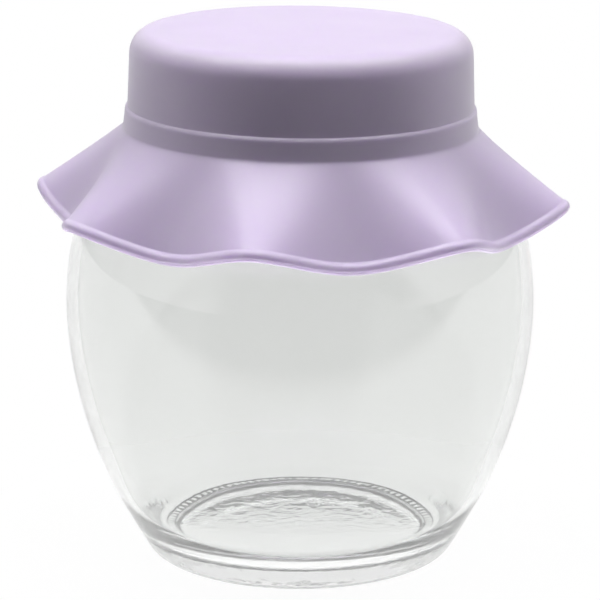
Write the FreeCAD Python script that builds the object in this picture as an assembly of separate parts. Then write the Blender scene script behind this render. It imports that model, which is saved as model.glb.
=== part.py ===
import FreeCAD, Part
import math
import os

# Clear glass barrel jar with a one-piece plastic lid whose rim is moulded as a gathered cloth frill.
# Millimetres, +Z up, the origin on the table at the centre of the jar's base.

os.makedirs("parts", exist_ok=True)

V = FreeCAD.Vector
AXIS = V(0, 0, 1)

# --- jar: driving dimensions ---
BEARING_IN_R = 31.2      # inner edge of the ring the jar stands on
BEARING_OUT_R = 34.3     # outer edge of that ring
HEEL_ROUND = 3.77        # round between that ring and the wall
HEEL_TURN = 62           # degrees the heel's round turns through
BELLY_R = 55.95          # widest radius
BELLY_Z = 62.0
SHOULDER_R = 49.0
SHOULDER_Z = 88.0
NECK_R = 37.6            # outside of the neck
NECK_Z = 99.4            # where the neck's straight wall begins
NECK_LEAN = 0.12         # inward run of the barrel's wall, per height, where it meets the neck
RIM_Z = 124.2            # top of the glass
RIM_ROUND = 1.3
WALL = 2.8               # glass thickness of the belly
NECK_WALL = 3.0
NECK_IN_Z = 98.8         # where the neck's inside wall ends
FLOOR_Z = 6.0            # inside floor at its centre
FLOOR_EDGE_R = 27.0      # where the floor starts turning up
FLOOR_EDGE_Z = 5.9
PUSH_UP = 2.6            # rise of the underside at its centre
PUSH_MID_R = 17.0        # a point half way out along that hollow ...
PUSH_MID_Z = 2.25
PUSH_EDGE_R = 29.8       # ... and the hollow's edge, inside the bearing ring
PUSH_EDGE_Z = 1.35

# --- jar: radius and height of the wall between those places ---
WALL_BELOW_BELLY = ((41.05, 8.0), (47.25, 20.0), (52.6, 36.0), (55.25, 50.0))
WALL_ABOVE_BELLY = ((54.85, 74.0), (52.6, 82.0))
WALL_ABOVE_SHOULDER = ((43.3, 94.6),)
INSIDE_ABOVE_BELLY = ((40.7, 92.7), (46.6, 86.2), (50.0, 80.6), (52.1, 73.4))
INSIDE_BELOW_BELLY = ((52.4, 50.0), (49.6, 36.0), (44.1, 20.0), (40.0, 12.0), (36.9, 8.2), (32.4, 6.25))

# --- lid: driving dimensions ---
TOP_Z = 126.3            # flat top of the lid
TOP_ROUND = 5.4          # round of the cap's upper edge
CAP_TOP_R = 40.45        # cap wall under that round
CAP_LOW_R = 40.95        # cap wall just above the ledge
LEDGE_Z = 108.1          # little ledge between cap and band
LEDGE_R = 41.5
LEDGE_FALL = 0.05        # how far the ledge's top falls outwards
LEDGE_ROUND = 0.35       # round of the ledge's edge
BAND_Z = 103.1           # crisp corner between band and frill
BAND_R = 42.05
BAND_LAP = 1.0           # how far the band's wall runs on inside the frill
CAP_BORE_R = 39.0        # inside wall, clear of the neck
CAP_BORE_ROUND = 1.5     # round between the inside wall and the underside of the top
CAP_FOOT_R = 40.6        # outer edge of the inside wall's foot
CAP_FOOT_Z = 101.7       # lower edge of the inside wall

# --- frill: driving dimensions ---
WAVES = 8                # waves round the frill
CREST_AZ = -99.7         # azimuth of one crest, degrees from +X
FRILL_R = 58.6           # mean radius where the lip starts
FRILL_SWING_R = 4.1      # how far the waves move in and out
FRILL_Z = 85.7           # mean height there
FRILL_SWING_Z = 2.5      # how far the waves move up and down
GROWTH = 1.2             # waves deepen with this power of the way out
FOLD_TOP = 2.6           # valleys start as narrow dents under the band ...
FOLD_LIP = 0.8           # ... and are as broad as the crests at the lip
SKIN = 1.1               # inward and downward step of the inner skin
LIP_REACH = 1.6          # how far the rounded lip turns outwards
LIP_DEEP = 2.2           # depth of that lip from top to underside
LIP_STEPS = 8            # strips that round the lip
FRILL_RINGS = (-0.08, 0.2, 0.4, 0.6, 0.8, 1.0)    # shares of the way out that the skins pass through
RING_POINTS = 96         # points fixing each wavy ring


def revolve(edges):
    """Turn a closed half section once round the axis."""
    wire = Part.Wire(Part.__sortEdges__(edges))
    return Part.Face(wire).revolve(V(0, 0, 0), AXIS, 360)


def at(radius, height):
    """Point of a half section."""
    return V(radius, 0, height)


def places(pairs):
    """Points of a half section, from pairs of radius and height."""
    return [at(radius, height) for radius, height in pairs]


def line(start, end):
    """Straight edge."""
    return Part.LineSegment(start, end).toShape()


def rounding(centre, radius, start_deg, end_deg):
    """Edge along a circle of the half section, between two directions from +X."""
    points = []
    for degrees in (start_deg, (start_deg + end_deg) / 2, end_deg):
        turn = math.radians(degrees)
        points.append(centre + V(radius * math.cos(turn), 0, radius * math.sin(turn)))
    return Part.Arc(*points).toShape()


def curve(points, start_dir, end_dir):
    """Smooth edge through points with set end directions."""
    spline = Part.BSplineCurve()
    spline.interpolate(Points=points, InitialTangent=start_dir, FinalTangent=end_dir)
    return spline.toShape()


def jar_outside():
    """Edges of the jar's outer half section, from the bearing ring to the rim."""
    turn = math.radians(HEEL_TURN)
    heel_centre = at(BEARING_OUT_R, HEEL_ROUND)
    heel_round = rounding(heel_centre, HEEL_ROUND, -90, HEEL_TURN - 90)
    heel = heel_centre + V(HEEL_ROUND * math.sin(turn), 0, -HEEL_ROUND * math.cos(turn))
    neck = at(NECK_R, NECK_Z)
    wall = [heel] + places(WALL_BELOW_BELLY) + [at(BELLY_R, BELLY_Z)] + places(WALL_ABOVE_BELLY)
    wall += [at(SHOULDER_R, SHOULDER_Z)] + places(WALL_ABOVE_SHOULDER) + [neck]
    body = curve(wall, V(math.cos(turn), 0, math.sin(turn)), V(-NECK_LEAN, 0, 1))
    bearing = line(at(BEARING_IN_R, 0), at(BEARING_OUT_R, 0))
    return [bearing, heel_round, body, line(neck, at(NECK_R, RIM_Z - RIM_ROUND))]


def jar_rim():
    """Rounded lip of the glass."""
    outer_r = NECK_R - RIM_ROUND
    inner_r = NECK_R - NECK_WALL + RIM_ROUND
    outer = rounding(at(outer_r, RIM_Z - RIM_ROUND), RIM_ROUND, 0, 90)
    inner = rounding(at(inner_r, RIM_Z - RIM_ROUND), RIM_ROUND, 90, 180)
    return [outer, line(at(outer_r, RIM_Z), at(inner_r, RIM_Z)), inner]


def jar_inside():
    """Edges of the hollow's half section, from the rim down to the axis."""
    inner_r = NECK_R - NECK_WALL
    neck_low = at(inner_r, NECK_IN_Z)
    floor_edge = at(FLOOR_EDGE_R, FLOOR_EDGE_Z)
    wall = [neck_low] + places(INSIDE_ABOVE_BELLY) + [at(BELLY_R - WALL, BELLY_Z)]
    wall += places(INSIDE_BELOW_BELLY) + [floor_edge]
    body = curve(wall, V(NECK_LEAN, 0, -1), V(-1, 0, 0))
    return [line(at(inner_r, RIM_Z - RIM_ROUND), neck_low), body, line(floor_edge, at(0, FLOOR_Z))]


def jar_underside():
    """Shallow hollow under the base, out to the bearing ring."""
    edge = at(PUSH_EDGE_R, PUSH_EDGE_Z)
    hollow = Part.Arc(at(0, PUSH_UP), at(PUSH_MID_R, PUSH_MID_Z), edge).toShape()
    return [hollow, line(edge, at(BEARING_IN_R, 0))]


def make_jar():
    """The glass jar: barrel body, neck, open mouth and a pushed-up base."""
    middle = line(at(0, FLOOR_Z), at(0, PUSH_UP))
    return revolve(jar_outside() + jar_rim() + jar_inside() + [middle] + jar_underside())


def cap_outside():
    """Edges of the cap's outer half section, from the axis down to the end of the band."""
    round_z = TOP_Z - TOP_ROUND
    nose = at(LEDGE_R - LEDGE_ROUND, LEDGE_Z - LEDGE_FALL)
    nose_z = nose.z - LEDGE_ROUND
    flare = (BAND_R - LEDGE_R) / (nose_z - BAND_Z)
    edges = [line(at(0, TOP_Z), at(CAP_TOP_R - TOP_ROUND, TOP_Z))]
    edges += [rounding(at(CAP_TOP_R - TOP_ROUND, round_z), TOP_ROUND, 90, 0)]
    edges += [line(at(CAP_TOP_R, round_z), at(CAP_LOW_R, LEDGE_Z)), line(at(CAP_LOW_R, LEDGE_Z), nose)]
    edges += [rounding(at(nose.x, nose_z), LEDGE_ROUND, 90, 0)]
    edges += [line(at(LEDGE_R, nose_z), at(BAND_R + flare * BAND_LAP, BAND_Z - BAND_LAP))]
    return edges


def cap_inside(band_low):
    """Edges of the cap's inner half section, from the end of the band back to the axis."""
    foot = at(CAP_FOOT_R, CAP_FOOT_Z)
    bore_low = at(CAP_BORE_R, CAP_FOOT_Z)
    round_r = CAP_BORE_R - CAP_BORE_ROUND
    round_z = RIM_Z - CAP_BORE_ROUND
    edges = [line(band_low, foot), line(foot, bore_low), line(bore_low, at(CAP_BORE_R, round_z))]
    edges += [rounding(at(round_r, round_z), CAP_BORE_ROUND, 0, 90)]
    edges += [line(at(round_r, RIM_Z), at(0, RIM_Z)), line(at(0, RIM_Z), at(0, TOP_Z))]
    return edges


def make_cap():
    """Hollow cap with its ledge and band, the plain middle of the lid."""
    outside = cap_outside()
    band_low = outside[-1].Vertexes[-1].Point
    return revolve(outside + cap_inside(band_low))


def wave(angle, share):
    """Height of the wave at an angle, 1 on a crest and -1 in a valley, as broad as its share asks."""
    fold = FOLD_TOP + (FOLD_LIP - FOLD_TOP) * math.sqrt(max(share, 0))
    dent = (1 - math.cos(WAVES * (angle - math.radians(CREST_AZ)))) / 2
    return 1 - 2 * dent ** fold


def wavy_ring(share, step_r, step_z):
    """Closed ring at a share of the way from the band to the lip, moved by a step."""
    points = []
    depth = max(share, 0) ** GROWTH
    for i in range(RING_POINTS):
        angle = math.radians(CREST_AZ) + 2 * math.pi * i / RING_POINTS
        swing = depth * wave(angle, share)
        radius = BAND_R + (FRILL_R - BAND_R) * share + FRILL_SWING_R * swing + step_r
        height = BAND_Z + (FRILL_Z - BAND_Z) * share + FRILL_SWING_Z * swing + step_z
        points.append(V(radius * math.cos(angle), radius * math.sin(angle), height))
    ring = Part.BSplineCurve()
    ring.interpolate(Points=points, PeriodicFlag=True)
    return Part.Wire(ring.toShape())


def lip_steps():
    """Outward and downward steps round the lip's half ellipse, from its top to its underside."""
    steps = []
    for i in range(1, LIP_STEPS + 1):
        turn = math.radians(90 - 180 * i / LIP_STEPS)
        steps.append((LIP_REACH * math.cos(turn), LIP_DEEP / 2 * (math.sin(turn) - 1)))
    return steps


def make_frill():
    """Gathered skirt with its turned-out rounded lip, a closed ring of even thickness."""
    outer = [wavy_ring(share, 0, 0) for share in FRILL_RINGS]
    inner = [wavy_ring(share, -SKIN, -SKIN) for share in reversed(FRILL_RINGS)]
    lip = [outer[-1]] + [wavy_ring(1.0, out, down) for out, down in lip_steps()] + [inner[0]]
    closing = [inner[-1], outer[0]]
    shells = [Part.makeLoft(rings, False, False) for rings in (outer, inner)]
    shells += [Part.makeLoft(rings, False, True) for rings in (lip, closing)]
    faces = []
    for shell in shells:
        faces.extend(shell.Faces)
    skin = Part.Shell(faces)
    skin.sewShape()
    solid = Part.Solid(skin)
    if solid.Volume < 0:
        solid.reverse()
    return solid


def make_lid():
    """The lid, one moulding: cap, band and frill."""
    return make_cap().fuse(make_frill()).removeSplitter()


def write(name, shape):
    """Save one part."""
    shape.exportStep("parts/" + name + ".step")
    box = shape.BoundBox
    print(name, "valid", shape.isValid(), "solids", len(shape.Solids), "cm3", round(shape.Volume / 1000, 2))
    print("  x", round(box.XMin, 2), round(box.XMax, 2), "z", round(box.ZMin, 2), round(box.ZMax, 2))


jar = make_jar()
lid = make_lid()
write("jar_glass", jar)
write("lid", lid)
print("shared volume", round(jar.common(lid).Volume, 4))
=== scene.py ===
"""Looks of an empty glass storage jar with a frilled plastic lid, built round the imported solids.

The jar is pressed soda-lime glass: a barrel body, a plain wide neck with a screw thread, a
pushed-up base and a ring of small grip bars where it stands. The lid is one satin polypropylene
moulding: a tall cap, a thin ledge, a band, and a skirt that copies a gathered cloth frill with a
turned-out lip. The pieces' sizes are in millimetres and the studio's in metres, both in the frame
of the solids: +Z up, origin at the centre of the base.
"""

import logging
import math
from collections.abc import Callable, Iterable, Sequence
from dataclasses import dataclass, field
from enum import Enum

import bmesh
import bpy
from mathutils import Matrix, Vector

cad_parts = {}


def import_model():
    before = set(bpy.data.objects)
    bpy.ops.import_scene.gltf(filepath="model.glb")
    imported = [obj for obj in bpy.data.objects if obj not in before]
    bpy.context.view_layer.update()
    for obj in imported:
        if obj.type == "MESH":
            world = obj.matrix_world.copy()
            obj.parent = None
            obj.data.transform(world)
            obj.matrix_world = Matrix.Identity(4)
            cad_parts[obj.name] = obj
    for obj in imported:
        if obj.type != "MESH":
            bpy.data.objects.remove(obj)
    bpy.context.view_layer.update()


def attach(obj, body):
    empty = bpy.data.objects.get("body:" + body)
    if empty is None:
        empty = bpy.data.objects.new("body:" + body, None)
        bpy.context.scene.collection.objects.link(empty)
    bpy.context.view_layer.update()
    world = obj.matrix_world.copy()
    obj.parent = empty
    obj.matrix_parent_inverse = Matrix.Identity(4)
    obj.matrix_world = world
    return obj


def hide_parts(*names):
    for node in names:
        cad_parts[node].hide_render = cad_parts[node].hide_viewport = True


LOG = logging.getLogger("jar")
MM = 0.001
WELD = 0.002 * MM  # vertices closer than this become one
NEAR_MM = 0.01  # a vertex this close to a ring's radius and height is on it
NEAR_TURN = 0.01  # the same for a column's bearing, in radians
TINY = 1e-9  # keeps a stretch without length from dividing by zero
NECK_LEVELS = (104.0, 110.0, 116.0, 121.0)  # rings along the neck and the lid's bore
Ring = tuple[float, float]  # radius and height of a ring, or of a centre
Span = tuple[float, float]  # where a ramp starts and where it ends
Ends = float | bpy.types.NodeSocket
UNIT: Span = (0.0, 1.0)


class Slot(Enum):
    """Material slots of the record, by name."""

    GLASS = "clear_glass"
    PLASTIC = "lilac_plastic"


class Turn(Enum):
    """Which way a screw thread stands off its wall."""

    OUTWARD = 1
    INWARD = -1


class Pick(Enum):
    """What is selected in edit mode, by the name that Blender gives it."""

    VERTICES = "VERT"
    FACES = "FACE"


# ---------------------------------------------------------------- small helpers


def linear(hex_colour: str) -> tuple[float, float, float, float]:
    """Turn an sRGB hex colour into the linear values that shaders use.

    Args:
        hex_colour: six hex digits, such as "c3b8cf".

    Returns:
        Linear red, green, blue and an alpha of 1.
    """
    channels = []
    for start in (0, 2, 4):
        value = int(hex_colour[start : start + 2], 16) / 255
        channels.append(value / 12.92 if value <= 0.04045 else ((value + 0.055) / 1.055) ** 2.4)
    return (channels[0], channels[1], channels[2], 1.0)


def add_node(
    tree: bpy.types.NodeTree,
    kind: str,
    settings: dict[str, object] | None = None,
    values: dict[str | int, object] | None = None,
    links: dict[str | int, bpy.types.NodeSocket] | None = None,
) -> bpy.types.Node:
    """Add one node with its settings, input values and incoming links.

    Args:
        tree: node tree to add to.
        kind: node type name.
        settings: attributes of the node itself.
        values: default values by input name or index.
        links: sockets to join, by input name or index.

    Returns:
        The new node.
    """
    node = tree.nodes.new(kind)
    for name, value in (settings or {}).items():
        setattr(node, name, value)
    for name, value in (values or {}).items():
        node.inputs[name].default_value = value
    for name, socket in (links or {}).items():
        tree.links.new(socket, node.inputs[name])
    return node


def new_material(name: str) -> tuple[bpy.types.Material, bpy.types.NodeTree]:
    """Make an empty node material.

    Args:
        name: what the material really is.

    Returns:
        The material and its cleared node tree.
    """
    material = bpy.data.materials.new(name)
    material.use_nodes = True
    material.node_tree.nodes.clear()
    return material, material.node_tree


def deselect_objects() -> None:
    for item in bpy.context.selected_objects:
        item.select_set(False)


def activate(piece: bpy.types.Object) -> None:
    """Make one object the only selected and the active one.

    Args:
        piece: the object.
    """
    deselect_objects()
    piece.select_set(True)
    bpy.context.view_layer.objects.active = piece


def pick(
    piece: bpy.types.Object,
    kind: Pick,
    wanted: Callable[[bmesh.types.BMVert | bmesh.types.BMFace], bool],
) -> int:
    """Select in edit mode the vertices or the faces that pass a test.

    Args:
        piece: mesh object in edit mode.
        kind: which of the two are tested.
        wanted: the test.

    Returns:
        How many were selected.
    """
    bpy.ops.mesh.select_mode(type=kind.value)
    mesh = bmesh.from_edit_mesh(piece.data)
    count = 0
    for item in mesh.verts if kind is Pick.VERTICES else mesh.faces:
        hit = wanted(item)
        item.select_set(hit)
        count += hit
    mesh.select_flush_mode()
    bmesh.update_edit_mesh(piece.data)
    return count


def apply_modifier(piece: bpy.types.Object, kind: str, settings: dict[str, object]) -> None:
    """Add a modifier with its settings and apply it.

    Args:
        piece: object to finish.
        kind: modifier type.
        settings: the modifier's attributes.
    """
    activate(piece)
    modifier = piece.modifiers.new(kind.lower(), kind)
    for name, value in settings.items():
        setattr(modifier, name, value)
    bpy.ops.object.modifier_apply(modifier=modifier.name)


def smooth_through(points: Sequence[Ring], step: float) -> list[Ring]:
    """Rings along a smooth line through some points, without the first one.

    Args:
        points: radius and height pairs the line passes through.
        step: wanted distance between rings.

    Returns:
        Radius and height pairs, ending on the last point.
    """
    rings: list[Ring] = []
    padded = [points[0], *points, points[-1]]
    for index in range(1, len(padded) - 2):
        before, start, end, after = (Vector(p) for p in padded[index - 1 : index + 3])
        length = (end - start).length
        into = (end - before) * (length / max((end - before).length, TINY))
        out = (after - start) * (length / max((after - start).length, TINY))
        count = max(1, round(length / step))
        for number in range(1, count + 1):
            t = number / count
            place = (
                start * (2 * t**3 - 3 * t**2 + 1)
                + into * (t**3 - 2 * t**2 + t)
                + end * (3 * t**2 - 2 * t**3)
                + out * (t**3 - t**2)
            )
            rings.append((place.x, place.y))
    return rings


def round_corner(
    centre: Ring, radius: float, start: float, end: float, count: int
) -> list[Ring]:
    """Rings round an arc of a half section.

    Args:
        centre: radius and height of the arc's centre.
        radius: the arc's radius.
        start: first angle in degrees, 0 outwards and 90 up.
        end: last angle in degrees.
        count: how many steps.

    Returns:
        Radius and height pairs with both ends.
    """
    rings = []
    for number in range(count + 1):
        angle = math.radians(start + (end - start) * number / count)
        out, up = radius * math.cos(angle), radius * math.sin(angle)
        rings.append((centre[0] + out, centre[1] + up))
    return rings


def draw_section(name: str, rings: Sequence[Ring]) -> bpy.types.Object:
    """Draw an open half section in the XZ plane, point by point from one vertex.

    Args:
        name: name of the piece.
        rings: radius and height in millimetres, from one pole to the other.

    Returns:
        The object, in edit mode with its line selected.
    """
    deselect_objects()
    bpy.ops.mesh.primitive_plane_add(size=MM, location=(0, 0, 0))
    piece = bpy.context.object
    piece.name = piece.data.name = name
    bpy.ops.object.mode_set(mode="EDIT")
    bpy.ops.mesh.select_mode(type="VERT")
    bpy.ops.mesh.select_all(action="SELECT")
    bpy.ops.mesh.merge(type="CENTER")
    before = Vector((0, 0, 0))
    for number, (radius, height) in enumerate(rings):
        place = Vector((radius, 0, height)) * MM
        if number:
            bpy.ops.mesh.extrude_vertices_move(TRANSFORM_OT_translate={"value": place - before})
        else:
            bpy.ops.transform.translate(value=place)
        before = place
    bpy.ops.mesh.select_all(action="SELECT")
    return piece


def spin_section(steps: int, degrees: float) -> None:
    """Spin the selected line about the upright axis, and close its seam and its poles.

    Args:
        steps: how many columns of faces.
        degrees: how far round, 360 for a closed body.
    """
    turn = math.radians(degrees)
    bpy.ops.mesh.spin(steps=steps, angle=turn, center=(0, 0, 0), axis=(0, 0, 1))
    bpy.ops.mesh.select_all(action="SELECT")
    bpy.ops.mesh.remove_doubles(threshold=WELD)
    bpy.ops.mesh.normals_make_consistent(inside=False)


def finish_piece(
    piece: bpy.types.Object, material: bpy.types.Material, nodes: Iterable[str] = ()
) -> None:
    """Dress a piece, tie it to the frame and report it.

    Args:
        piece: finished mesh.
        material: its finish.
        nodes: solids it stands for.
    """
    activate(piece)
    bpy.ops.object.shade_smooth()
    piece.data.materials.clear()
    piece.data.materials.append(material)
    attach(piece, "root")
    names = list(nodes)
    if names:
        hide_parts(*names)
    LOG.info("%s: %d faces", piece.name, len(piece.data.polygons))


# ---------------------------------------------------------------- finishes


@dataclass(frozen=True)
class SodaLimeGlass:
    """Pressed and blown soda-lime container glass: clear, fire-polished, grey-green where thick."""

    name: str = "soda_lime_glass"
    tint: str = "f4f5f4"
    ior: float = 1.52
    haze: float = 0.05
    ripple: float = 0.05
    ripple_mm: float = 34.0
    ripple_deep_mm: float = 0.6
    dimple: float = 0.35
    dimple_mm: float = 2.4
    dimple_deep_mm: float = 0.3
    chill_mm: Span = (4.0, 12.0)

    def build(self) -> bpy.types.Material:
        """Make the material.

        Returns:
            The glass.
        """
        material, tree = new_material(self.name)
        place = add_node(tree, "ShaderNodeTexCoord")
        # Moulded glass cools unevenly: long low waves bend what shows through it.
        waves = add_node(
            tree,
            "ShaderNodeTexNoise",
            values={"Scale": 1 / (self.ripple_mm * MM), "Detail": 1.0, "Roughness": 0.4},
            links={"Vector": place.outputs["Object"]},
        )
        bump = add_node(
            tree,
            "ShaderNodeBump",
            values={"Strength": self.ripple, "Distance": self.ripple_deep_mm * MM},
            links={"Height": waves.outputs["Fac"]},
        )
        # The base chills first on the mould: it is dimpled, and the dimples fade out just above it.
        height = add_node(tree, "ShaderNodeSeparateXYZ", links={0: place.outputs["Object"]})
        chill = add_node(
            tree,
            "ShaderNodeMapRange",
            values={
                "From Min": self.chill_mm[0] * MM,
                "From Max": self.chill_mm[1] * MM,
                "To Min": self.dimple,
                "To Max": 0.0,
            },
            links={"Value": height.outputs["Z"]},
        )
        dimples = add_node(
            tree,
            "ShaderNodeTexNoise",
            values={"Scale": 1 / (self.dimple_mm * MM), "Detail": 1.0},
            links={"Vector": place.outputs["Object"]},
        )
        hammered = add_node(
            tree,
            "ShaderNodeBump",
            values={"Distance": self.dimple_deep_mm * MM},
            links={
                "Strength": chill.outputs["Result"],
                "Height": dimples.outputs["Fac"],
                "Normal": bump.outputs["Normal"],
            },
        )
        # Handling and the cold mould leave a faint haze, which scatters a little of the light.
        shader = add_node(
            tree,
            "ShaderNodeBsdfPrincipled",
            values={
                "Base Color": linear(self.tint),
                "Roughness": 0.0,
                "IOR": self.ior,
                "Transmission Weight": 1 - self.haze,
            },
            links={"Normal": hammered.outputs["Normal"]},
        )
        add_node(tree, "ShaderNodeOutputMaterial", links={"Surface": shader.outputs["BSDF"]})
        return material


@dataclass(frozen=True)
class SatinPolypropylene:
    """Injection-moulded polypropylene in pale lilac: satin, with a fine eroded mould grain."""

    name: str = "satin_polypropylene"
    colour: str = "c3b8cf"
    shade: str = "beb2cb"
    ior: float = 1.5
    roughness: float = 0.33
    gloss_drift: Span = (-0.03, 0.04)
    cloud_mm: float = 26.0
    cloud_middle: Span = (0.3, 0.7)
    grain: float = 0.12
    grain_mm: float = 0.45
    grain_deep_mm: float = 0.03
    spread_mm: float = 2.5
    spread: tuple[float, float, float] = (1.0, 0.9, 1.0)

    def build(self) -> bpy.types.Material:
        """Make the material.

        Returns:
            The plastic.
        """
        material, tree = new_material(self.name)
        place = add_node(tree, "ShaderNodeTexCoord")
        # Pigment flows a little unevenly in the mould, so the tone drifts over a few centimetres.
        cloud = add_node(
            tree,
            "ShaderNodeTexNoise",
            values={"Scale": 1 / (self.cloud_mm * MM), "Detail": 2.0},
            links={"Vector": place.outputs["Object"]},
        )
        tone = add_node(
            tree,
            "ShaderNodeMix",
            settings={"data_type": "RGBA"},
            values={6: linear(self.colour), 7: linear(self.shade)},
            links={0: cloud.outputs["Fac"]},
        )
        # Spark-eroded grain is near 0.1 mm; it is drawn coarser, so that it shows.
        grain = add_node(
            tree,
            "ShaderNodeTexNoise",
            values={"Scale": 1 / (self.grain_mm * MM), "Detail": 2.0, "Roughness": 0.6},
            links={"Vector": place.outputs["Object"]},
        )
        bump = add_node(
            tree,
            "ShaderNodeBump",
            values={"Strength": self.grain, "Distance": self.grain_deep_mm * MM},
            links={"Height": grain.outputs["Fac"]},
        )
        # The gloss drifts with the tone.
        gloss = add_node(
            tree,
            "ShaderNodeMapRange",
            values={
                "From Min": self.cloud_middle[0],
                "From Max": self.cloud_middle[1],
                "To Min": self.roughness + self.gloss_drift[0],
                "To Max": self.roughness + self.gloss_drift[1],
            },
            links={"Value": cloud.outputs["Fac"]},
        )
        # Light runs a little way under the surface, almost alike in every colour: folds look soft.
        shader = add_node(
            tree,
            "ShaderNodeBsdfPrincipled",
            values={
                "IOR": self.ior,
                "Subsurface Weight": 1.0,
                "Subsurface Radius": self.spread,
                "Subsurface Scale": self.spread_mm * MM,
            },
            links={
                "Base Color": tone.outputs[2],
                "Roughness": gloss.outputs["Result"],
                "Normal": bump.outputs["Normal"],
            },
        )
        add_node(tree, "ShaderNodeOutputMaterial", links={"Surface": shader.outputs["BSDF"]})
        return material


# ---------------------------------------------------------------- the jar


@dataclass
class GlassJar:
    """The barrel jar. Sizes in millimetres."""

    material: bpy.types.Material
    columns: int = 192
    bearing_out: float = 34.3
    bearing_top: float = 1.0
    heel_round: float = 3.77
    heel_start: float = -84.0
    heel_turn: float = 62.0
    heel_steps: int = 6
    neck_r: float = 37.6
    neck_wall: float = 3.0
    rim_z: float = 124.2
    rim_round: float = 1.3
    rim_steps: int = 4
    bore_low: float = 101.5
    floor_z: float = 6.0
    push_up: float = 2.6
    bar_in: float = 31.7
    bar_out: float = 33.7
    bar_rise: float = 0.15
    bar_inset: float = 0.18
    step: float = 4.5
    outer: list[Ring] = field(
        default_factory=lambda: [
            (41.05, 8.0), (47.25, 20.0), (52.6, 36.0), (55.25, 50.0), (55.95, 62.0),
            (54.85, 74.0), (52.6, 82.0), (49.0, 88.0), (43.3, 94.6), (39.0, 97.9), (37.6, 100.4),
        ]
    )
    inner: list[Ring] = field(
        default_factory=lambda: [
            (34.6, 98.8), (36.4, 96.3), (40.7, 92.7), (46.6, 86.2), (50.0, 80.6), (52.1, 73.4),
            (53.15, 62.0), (52.4, 50.0), (49.6, 36.0), (44.1, 20.0), (40.0, 12.0), (36.9, 8.2),
            (32.4, 6.25), (27.0, 5.9),
        ]
    )

    def rings(self) -> list[Ring]:
        """Half section from the middle of the underside, round the outside and down to the floor.

        Returns:
            Radius and height pairs.
        """
        rise = self.bar_rise
        under = [
            (0.0, self.push_up), (3.0, self.push_up), (10.0, 2.5), (18.0, 2.15), (24.0, 1.7),
            (28.0, 1.3),
        ]
        stand = [
            (30.0, 0.95), (30.9, rise + 0.42), (31.4, rise + 0.12), (self.bar_in, rise),
            (self.bar_out, rise), (34.2, rise),
        ]
        heel_centre = (self.bearing_out, self.heel_round)
        heel_end = self.heel_turn - 90
        heel = round_corner(
            heel_centre, self.heel_round, self.heel_start, heel_end, self.heel_steps
        )
        wall = smooth_through([heel[-1], *self.outer], self.step)
        neck = [(self.neck_r, z) for z in NECK_LEVELS]
        inner_r = self.neck_r - self.neck_wall
        corner = self.rim_z - self.rim_round
        outside = (self.neck_r - self.rim_round, corner)
        inside = (inner_r + self.rim_round, corner)
        lip = round_corner(outside, self.rim_round, 0, 90, self.rim_steps)
        lip += round_corner(inside, self.rim_round, 90, 180, self.rim_steps)
        bore = [(inner_r, z) for z in (*reversed(NECK_LEVELS), self.bore_low)]
        cavity = smooth_through([bore[-1], *self.inner], self.step)
        floor = [
            (20.0, self.floor_z - 0.07), (12.0, self.floor_z - 0.03), (4.0, self.floor_z),
            (0.0, self.floor_z),
        ]
        return under + stand + heel + wall + neck + lip + bore + cavity + floor

    def build(self) -> bpy.types.Object:
        """Model the glass body with its ring of grip bars.

        Returns:
            The finished piece.
        """
        jar = draw_section("jar_body", self.rings())
        spin_section(self.columns, 360)
        self.raise_bars(jar)
        bpy.ops.object.mode_set(mode="OBJECT")
        smooth = {"levels": 1, "render_levels": 1, "use_limit_surface": False}
        apply_modifier(jar, "SUBSURF", smooth)
        finish_piece(jar, self.material, ["jar_glass"])
        return jar

    def raise_bars(self, jar: bpy.types.Object) -> None:
        """Press the small bars that the jar stands on out of its bearing ring.

        Args:
            jar: the glass body in edit mode.
        """
        pair = 2 * math.tau / self.columns  # one bar and the gap beside it

        def on_bar(face: bmesh.types.BMFace) -> bool:
            """Tell whether a face is one of the bars.

            Args:
                face: any face of the body.

            Returns:
                True where it looks down, lies on the bearing ring and is in a pair's first half.
            """
            middle = face.calc_center_median()
            radius = middle.to_2d().length / MM
            share = (math.atan2(middle.y, middle.x) / pair) % 1.0
            low = face.normal.z < -0.5 and middle.z < self.bearing_top * MM
            return low and self.bar_in < radius < self.bar_out and share < 0.5

        pick(jar, Pick.FACES, on_bar)
        bpy.ops.mesh.inset(thickness=self.bar_inset * MM, use_individual=True)
        bpy.ops.transform.translate(value=(0, 0, -self.bar_rise * MM))


# ---------------------------------------------------------------- the lid


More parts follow.
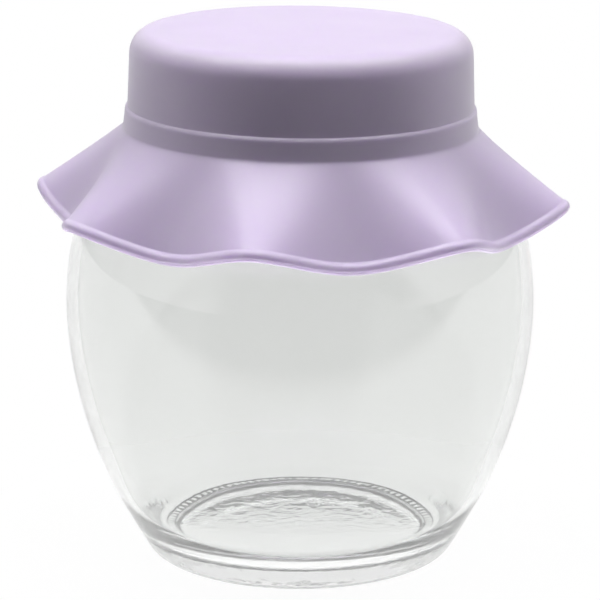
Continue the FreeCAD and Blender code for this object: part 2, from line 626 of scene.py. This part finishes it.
@dataclass
class FrilledLid:
    """The one-piece lid. Sizes in millimetres."""

    material: bpy.types.Material
    half_columns: int = 5
    waves: int = 8
    crest_az: float = -99.7
    top_z: float = 126.3
    shoulder_at: Ring = (35.05, 120.9)
    shoulder_r: float = 5.4
    shoulder_steps: int = 7
    band_r: float = 42.05
    band_z: float = 103.1
    frill_r: float = 58.6
    swing_r: float = 4.1
    frill_z: float = 85.7
    swing_z: float = 2.5
    growth: float = 1.2
    fold_top: float = 2.6
    fold_lip: float = 0.8
    skin: float = 1.1
    lip_reach: float = 1.6
    lip_deep: float = 2.9
    seam: float = 0.25
    seam_turn: float = -24.0
    bore_r: float = 39.0
    bore_round: float = 1.5
    bore_steps: int = 4
    foot_z: float = 101.7
    under_z: float = 124.8
    lean: float = 0.55
    pivot_z: float = 105.0
    shift: float = 0.2

    def cap_rings(self) -> list[Ring]:
        """Outside of the cap, ledge and band, from the middle of the top.

        Returns:
            Radius and height pairs.
        """
        top = [(radius, self.top_z) for radius in (0.0, 5.0, 14.0, 23.0, 30.0, 33.6)]
        shoulder = round_corner(self.shoulder_at, self.shoulder_r, 90, 0, self.shoulder_steps)
        wall = [(40.6, 117.0), (40.78, 112.6), (40.9, 109.2), (40.93, 108.7)]
        ledge = [(40.96, 108.5), (41.1, 108.42), (41.3, 108.22), (41.46, 107.95), (41.55, 107.55)]
        band = [(41.6, 106.7), (41.82, 104.9), (41.98, 103.7), (42.03, 103.32)]
        return top + shoulder + wall + ledge + band

    def frill_steps(self) -> list[tuple[float, float, float]]:
        """Rings of the frill, down its outside, round its lip and up its inside.

        Returns:
            For each ring the share of the way out, the outward step and the upward step.
        """
        outer_shares = (0.012, 0.06, 0.18, 0.34, 0.5, 0.66, 0.82, 0.94, 0.985, 1.0)
        outer = [(share, 0.0, 0.0) for share in outer_shares]
        lip = []
        for degrees in (67.5, 45, 22.5, 0, -16, self.seam_turn, -32, -45, -67.5, -90):
            angle = math.radians(degrees)
            notch = self.seam if degrees == self.seam_turn else 0
            reach = self.lip_reach * math.cos(angle) - notch
            lip.append((1.0, reach, self.lip_deep / 2 * (math.sin(angle) - 1)))
        inner_shares = (1.0, 0.95, 0.8, 0.62, 0.44, 0.26, 0.1, 0.03)
        inner = [(share, -self.skin, -self.skin) for share in inner_shares]
        return outer + lip + inner

    def bore_rings(self) -> list[Ring]:
        """Inside of the lid, from the foot of the bore up and in to the middle.

        Returns:
            Radius and height pairs.
        """
        foot = [(40.5, 101.75), (39.8, self.foot_z), (39.15, self.foot_z), (self.bore_r, 101.95)]
        bore = [(self.bore_r, z) for z in NECK_LEVELS]
        centre = (self.bore_r - self.bore_round, self.under_z - self.bore_round)
        corner = round_corner(centre, self.bore_round, 0, 90, self.bore_steps)
        under = [(radius, self.under_z) for radius in (30.0, 20.0, 10.0, 4.0, 0.0)]
        return foot + bore + corner + under

    def plain_ring(self, share: float, out: float, up: float) -> Ring:
        """Place of a frill ring before it is waved."""
        radius = self.band_r + (self.frill_r - self.band_r) * share + out
        return (radius, self.band_z + (self.frill_z - self.band_z) * share + up)

    def build(self) -> bpy.types.Object:
        """Model half a wave of the lid, gather it, and repeat it all round.

        Returns:
            The finished piece.
        """
        steps = self.frill_steps()
        frill = [self.plain_ring(*step) for step in steps]
        lid = draw_section("lid_moulding", self.cap_rings() + frill + self.bore_rings())
        spin_section(self.half_columns, 180 / self.waves)
        for (share, _, _), ring in zip(steps, frill):
            self.gather(lid, share, ring)
        self.repeat()
        self.seat()
        bpy.ops.object.mode_set(mode="OBJECT")
        apply_modifier(lid, "SUBSURF", {"levels": 2, "render_levels": 2})
        finish_piece(lid, self.material, ["lid"])
        return lid

    def wave(self, column: float, share: float) -> float:
        """Height of the wave, 1 on the crest and -1 in the valley.

        Args:
            column: how many columns from the crest.
            share: how far out the ring is, from 0 at the band to 1 at the lip.

        Returns:
            The height; folds are narrow at the band and broad at the lip.
        """
        fold = self.fold_top + (self.fold_lip - self.fold_top) * math.sqrt(share)
        dent = (1 - math.cos(math.pi * column / self.half_columns)) / 2
        return 1 - 2 * dent**fold

    def gather(self, lid: bpy.types.Object, share: float, ring: Ring) -> None:
        """Pull one plain ring of the half wave in and out, column by column.

        Args:
            lid: the half wave in edit mode.
            share: how far out the ring is, from 0 at the band to 1 at the lip.
            ring: its plain radius and height.
        """
        radius, height = ring
        depth = share**self.growth
        for column in range(self.half_columns + 1):
            before, here, after = (self.wave(column + off, share) for off in (-1, 0, 1))
            # Subdividing mixes each column with its neighbours, 4 parts to 1 and 1, which rounds
            # the wave off, so each column is pulled past its place by that much.
            swing = depth * (here - (before - 2 * here + after) / 6)
            angle = math.pi / self.waves * column / self.half_columns

            def wanted(vertex: bmesh.types.BMVert) -> bool:
                """Tell whether a vertex is on the ring and in the column.

                Args:
                    vertex: any vertex of the half wave.

                Returns:
                    True for the one to pull.
                """
                place = vertex.co
                off_ring = abs(place.to_2d().length / MM - radius)
                if off_ring > NEAR_MM or abs(place.z / MM - height) > NEAR_MM:
                    return False
                return abs(abs(math.atan2(place.y, place.x)) - angle) < NEAR_TURN

            if pick(lid, Pick.VERTICES, wanted) == 1:
                grow = 1 + self.swing_r * swing / radius
                bpy.ops.transform.resize(value=(grow, grow, 1), center_override=(0, 0, 0))
                bpy.ops.transform.translate(value=(0, 0, self.swing_z * swing * MM))

    def repeat(self) -> None:
        """Mirror the half wave, copy the wave round the axis and weld the whole."""
        bpy.ops.mesh.select_all(action="SELECT")
        bpy.ops.mesh.duplicate()
        bpy.ops.transform.resize(value=(1, -1, 1), center_override=(0, 0, 0))
        bpy.ops.mesh.select_all(action="SELECT")
        turn = math.tau / self.waves
        for _ in range(self.waves - 1):
            bpy.ops.mesh.duplicate()
            bpy.ops.transform.rotate(value=turn, orient_axis="Z", center_override=(0, 0, 0))
        bpy.ops.mesh.select_all(action="SELECT")
        bpy.ops.mesh.remove_doubles(threshold=WELD)
        bpy.ops.mesh.normals_make_consistent(inside=False)

    def seat(self) -> None:
        """Turn the lid to its crest and let it sit a little askew, as a screwed lid does."""
        turn = math.radians(self.crest_az)
        lean = math.radians(self.lean)
        pivot = (0, 0, self.pivot_z * MM)
        bpy.ops.transform.rotate(value=-turn, orient_axis="Z", center_override=pivot)
        bpy.ops.transform.rotate(value=-lean, orient_axis="Y", center_override=pivot)
        bpy.ops.transform.translate(value=(self.shift * MM, 0, 0))


@dataclass
class ScrewThread:
    """A rounded helical ridge on the neck or in the lid. Sizes in millimetres.

    The section is an oval. Its middle stands off the wall by half of its half-height, so that the
    ridge is three quarters proud of the wall and one quarter sunk in it.
    """

    name: str
    material: bpy.types.Material
    slot: Slot
    side: Turn
    wall_r: float
    low_z: float
    half_high: float = 0.5
    half_wide: float = 0.8
    sides: int = 10
    pitch: float = 6.0
    turns: float = 1.4
    columns: int = 96
    taper: int = 8
    seat: Callable[[], None] | None = None

    def build(self) -> bpy.types.Object:
        """Wind a small oval section along a helix, with both ends run out into the wall.

        Returns:
            The finished piece.
        """
        deselect_objects()
        bpy.ops.mesh.primitive_circle_add(
            vertices=self.sides,
            radius=MM,
            fill_type="NGON",
            location=(0, 0, 0),
            rotation=(math.pi / 2, 0, 0),
        )
        ridge = bpy.context.object
        ridge.name = ridge.data.name = self.name
        bpy.ops.object.transform_apply(location=False, rotation=True, scale=False)
        bpy.ops.object.mode_set(mode="EDIT")
        bpy.ops.mesh.select_all(action="SELECT")
        size = 1 / self.taper
        oval = (self.half_high * size, 1, self.half_wide * size)
        bpy.ops.transform.resize(value=oval, center_override=(0, 0, 0))
        place = Vector((self.wall_r + self.side.value * self.half_high / 2, 0, self.low_z)) * MM
        bpy.ops.transform.translate(value=place)
        self.wind(place, size)
        if self.seat:
            self.seat()
        bpy.ops.object.mode_set(mode="OBJECT")
        finish_piece(ridge, self.material)
        return ridge

    def wind(self, place: Vector, size: float) -> None:
        """Extrude the section round the axis, step by step.

        Args:
            place: middle of the first section.
            size: how large that section is beside a full one.
        """
        steps = round(self.columns * self.turns)
        angle = math.tau / self.columns
        rise = self.pitch / self.columns * MM
        for number in range(1, steps + 1):
            bpy.ops.mesh.extrude_region_move()
            bpy.ops.transform.rotate(value=-angle, orient_axis="Z", center_override=(0, 0, 0))
            bpy.ops.transform.translate(value=(0, 0, rise))
            place = Matrix.Rotation(angle, 3, "Z") @ place + Vector((0, 0, rise))
            full = min(1.0, (number + 1) / self.taper, (steps - number + 1) / self.taper)
            grow = full / size
            bpy.ops.transform.resize(value=(grow, grow, grow), center_override=place)
            size = full
        bpy.ops.mesh.select_all(action="SELECT")
        bpy.ops.mesh.normals_make_consistent(inside=False)


# ---------------------------------------------------------------- the studio


@dataclass
class Studio:
    """Pale table under a wide roof softbox, in a white tent with an open front, and the camera.

    Lengths are in metres, and so are the table's spans, from the jar's middle. The tent's spans are
    parts of a direction whose length is 1.
    """

    distance: float = 0.6667
    height: float = 0.2366
    pitch: float = 14.785
    lens: float = 172.3
    sensor: float = 36.0
    far_clip: float = 20.0
    roof_size: tuple[float, float] = (0.85, 0.4)
    roof_place: tuple[float, float, float] = (0.01, 0.06, 0.75)
    roof_watts: float = 3.35
    table_r: float = 4.0
    table_sides: int = 96
    table_glow: float = 0.95
    table_paper: float = 0.9
    front_y: Span = (-0.22, -0.14)
    paper_reach: Span = (0.1, 0.14)
    clear_reach: Span = (0.045, 0.085)
    throw_share: float = 0.95
    throw_reach: Span = (0.11, 0.13)
    lip_light: float = 5.0
    side_light: float = 6.5
    side_across: Span = (0.75, 0.92)
    side_low: float = 0.06
    side_upward: Span = (0.55, 0.85)
    back_light: float = 0.8
    far_light: float = 0.04
    port_light: float = 0.1
    port_turn: float = 8.5
    port_rise: float = 0.15
    port_edge: Span = (0.62, 0.74)

    def build(self) -> None:
        """Set up everything that isn't the object."""
        bpy.context.scene.view_settings.view_transform = "Standard"
        self.camera()
        self.table()
        self.tent()
        self.roof()

    def camera(self) -> None:
        """Place the camera a little above the lid, looking down at the jar's middle."""
        deselect_objects()
        tilt = math.radians(90 - self.pitch)
        place = (0, -self.distance, self.height)
        bpy.ops.object.camera_add(location=place, rotation=(tilt, 0, 0))
        camera = bpy.context.object
        camera.data.lens = self.lens
        camera.data.sensor_width = self.sensor
        camera.data.clip_end = self.far_clip
        bpy.context.scene.camera = camera

    @staticmethod
    def ramp(
        tree: bpy.types.NodeTree,
        value: bpy.types.NodeSocket,
        span: Span,
        low: Ends,
        high: Ends = 1.0,
    ) -> bpy.types.NodeSocket:
        """Turn a value that runs over a span into another range, held flat outside it.

        Args:
            tree: node tree to add to.
            value: what runs.
            span: where it starts and ends.
            low: result at the start, a number or a socket.
            high: result at the end, a number or a socket.

        Returns:
            The result's socket.
        """
        values = {"From Min": span[0], "From Max": span[1]}
        links = {"Value": value}
        for name, end in (("To Min", low), ("To Max", high)):
            (links if isinstance(end, bpy.types.NodeSocket) else values)[name] = end
        return add_node(tree, "ShaderNodeMapRange", values=values, links=links).outputs[0]

    def bounced(
        self, tree: bpy.types.NodeTree
    ) -> tuple[bpy.types.NodeSocket, bpy.types.NodeSocket]:
        """Sockets that are 1 for mirrored rays, and for rays scattered by a dull surface.

        Args:
            tree: node tree to add to.

        Returns:
            The two sockets. A view straight on or through glass has 0 in both.
        """
        path = add_node(tree, "ShaderNodeLightPath")
        mirrored = self.ramp(tree, path.outputs["Glossy Depth"], UNIT, 0.0)
        scattered = self.ramp(tree, path.outputs["Diffuse Depth"], UNIT, 0.0)
        return mirrored, scattered

    def table(self) -> None:
        """Lay a wide table: plain white where it is looked at, dark in front where it is mirrored.

        For dull surfaces it is bright close to the jar and dim far off.
        """
        deselect_objects()
        bpy.ops.mesh.primitive_circle_add(
            vertices=self.table_sides, radius=self.table_r, fill_type="NGON", location=(0, 0, 0)
        )
        table = bpy.context.object
        table.name = "white_table"
        material, tree = new_material("white_laminate")
        place = add_node(tree, "ShaderNodeTexCoord").outputs["Object"]
        reach = add_node(
            tree, "ShaderNodeVectorMath", {"operation": "LENGTH"}, links={0: place}
        ).outputs["Value"]
        along = add_node(tree, "ShaderNodeSeparateXYZ", links={0: place}).outputs["Y"]
        mirrored, scattered = self.bounced(tree)
        front = self.ramp(tree, along, self.front_y, self.port_light)
        seen = self.ramp(tree, mirrored, UNIT, 1.0, front)
        level = self.ramp(tree, scattered, UNIT, seen, self.lip_light)
        paper_level = self.ramp(tree, reach, self.paper_reach, self.table_paper, self.far_light)
        paper = add_node(tree, "ShaderNodeBsdfDiffuse", links={"Color": paper_level})
        glow = add_node(tree, "ShaderNodeEmission", links={"Strength": level})
        clear = self.ramp(tree, reach, self.clear_reach, self.table_glow)
        # Close to the jar the lit table throws light up on the lip's underside.
        thrown_up = self.ramp(tree, reach, self.throw_reach, self.throw_share, 0.0)
        share = self.ramp(tree, scattered, UNIT, clear, thrown_up)
        mix = add_node(
            tree, "ShaderNodeMixShader", links={0: share, 1: paper.outputs[0], 2: glow.outputs[0]}
        )
        add_node(tree, "ShaderNodeOutputMaterial", links={"Surface": mix.outputs[0]})
        table.data.materials.append(material)

    def tent(self) -> None:
        """Light from both sides, plain white where looked at, with a dark opening in front."""
        world = bpy.data.worlds.new("white_tent")
        bpy.context.scene.world = world
        world.use_nodes = True
        tree = world.node_tree
        tree.nodes.clear()
        way = add_node(tree, "ShaderNodeTexCoord").outputs["Generated"]
        level_way = add_node(
            tree,
            "ShaderNodeVectorMath",
            {"operation": "MULTIPLY"},
            values={1: (1.0, 1.0, 0.0)},
            links={0: way},
        ).outputs[0]
        bearing = add_node(
            tree, "ShaderNodeVectorMath", {"operation": "NORMALIZE"}, links={0: level_way}
        ).outputs[0]
        across = add_node(tree, "ShaderNodeSeparateXYZ", links={0: bearing}).outputs["X"]
        aside = add_node(
            tree, "ShaderNodeMath", {"operation": "ABSOLUTE"}, links={0: across}
        ).outputs[0]
        upward = add_node(tree, "ShaderNodeSeparateXYZ", links={0: way}).outputs["Z"]
        # Each side's panel is bright at its top and dim low down; between the panels it is dark.
        side_low = self.side_light * self.side_low
        panel = self.ramp(tree, upward, self.side_upward, side_low, self.side_light)
        sides = self.ramp(tree, aside, self.side_across, self.far_light, panel)
        # The tent is open in front, a little to the right, where the camera stands.
        turn = math.radians(self.port_turn)
        toward = add_node(
            tree,
            "ShaderNodeVectorMath",
            {"operation": "DOT_PRODUCT"},
            values={1: (math.sin(turn), -math.cos(turn), self.port_rise)},
            links={0: way},
        ).outputs["Value"]
        port = self.ramp(tree, toward, self.port_edge, self.back_light, self.port_light)
        mirrored, scattered = self.bounced(tree)
        seen = self.ramp(tree, mirrored, UNIT, 1.0, port)
        level = self.ramp(tree, scattered, UNIT, seen, sides)
        sky = add_node(tree, "ShaderNodeBackground", links={"Strength": level})
        add_node(tree, "ShaderNodeOutputWorld", links={"Surface": sky.outputs[0]})

    def roof(self) -> None:
        """Hang the wide softbox over the lid."""
        deselect_objects()
        bpy.ops.object.light_add(type="AREA", location=self.roof_place)
        lamp = bpy.context.object
        lamp.name = "roof_softbox"
        lamp.data.shape = "RECTANGLE"
        lamp.data.size, lamp.data.size_y = self.roof_size
        lamp.data.energy = self.roof_watts


def main() -> None:
    """Build the jar, the lid and the studio."""
    logging.basicConfig(level=logging.INFO, format="%(name)s %(message)s")
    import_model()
    glass = SodaLimeGlass().build()
    plastic = SatinPolypropylene().build()
    jar = GlassJar(glass)
    lid = FrilledLid(plastic)
    jar.build()
    lid.build()
    ScrewThread(
        "neck_thread", glass, Slot.GLASS, Turn.OUTWARD, wall_r=jar.neck_r, low_z=108.0
    ).build()
    ScrewThread(
        "lid_thread", plastic, Slot.PLASTIC, Turn.INWARD, wall_r=lid.bore_r, low_z=111.0,
        seat=lid.seat,
    ).build()
    Studio().build()


if __name__ == "__main__":
    main()
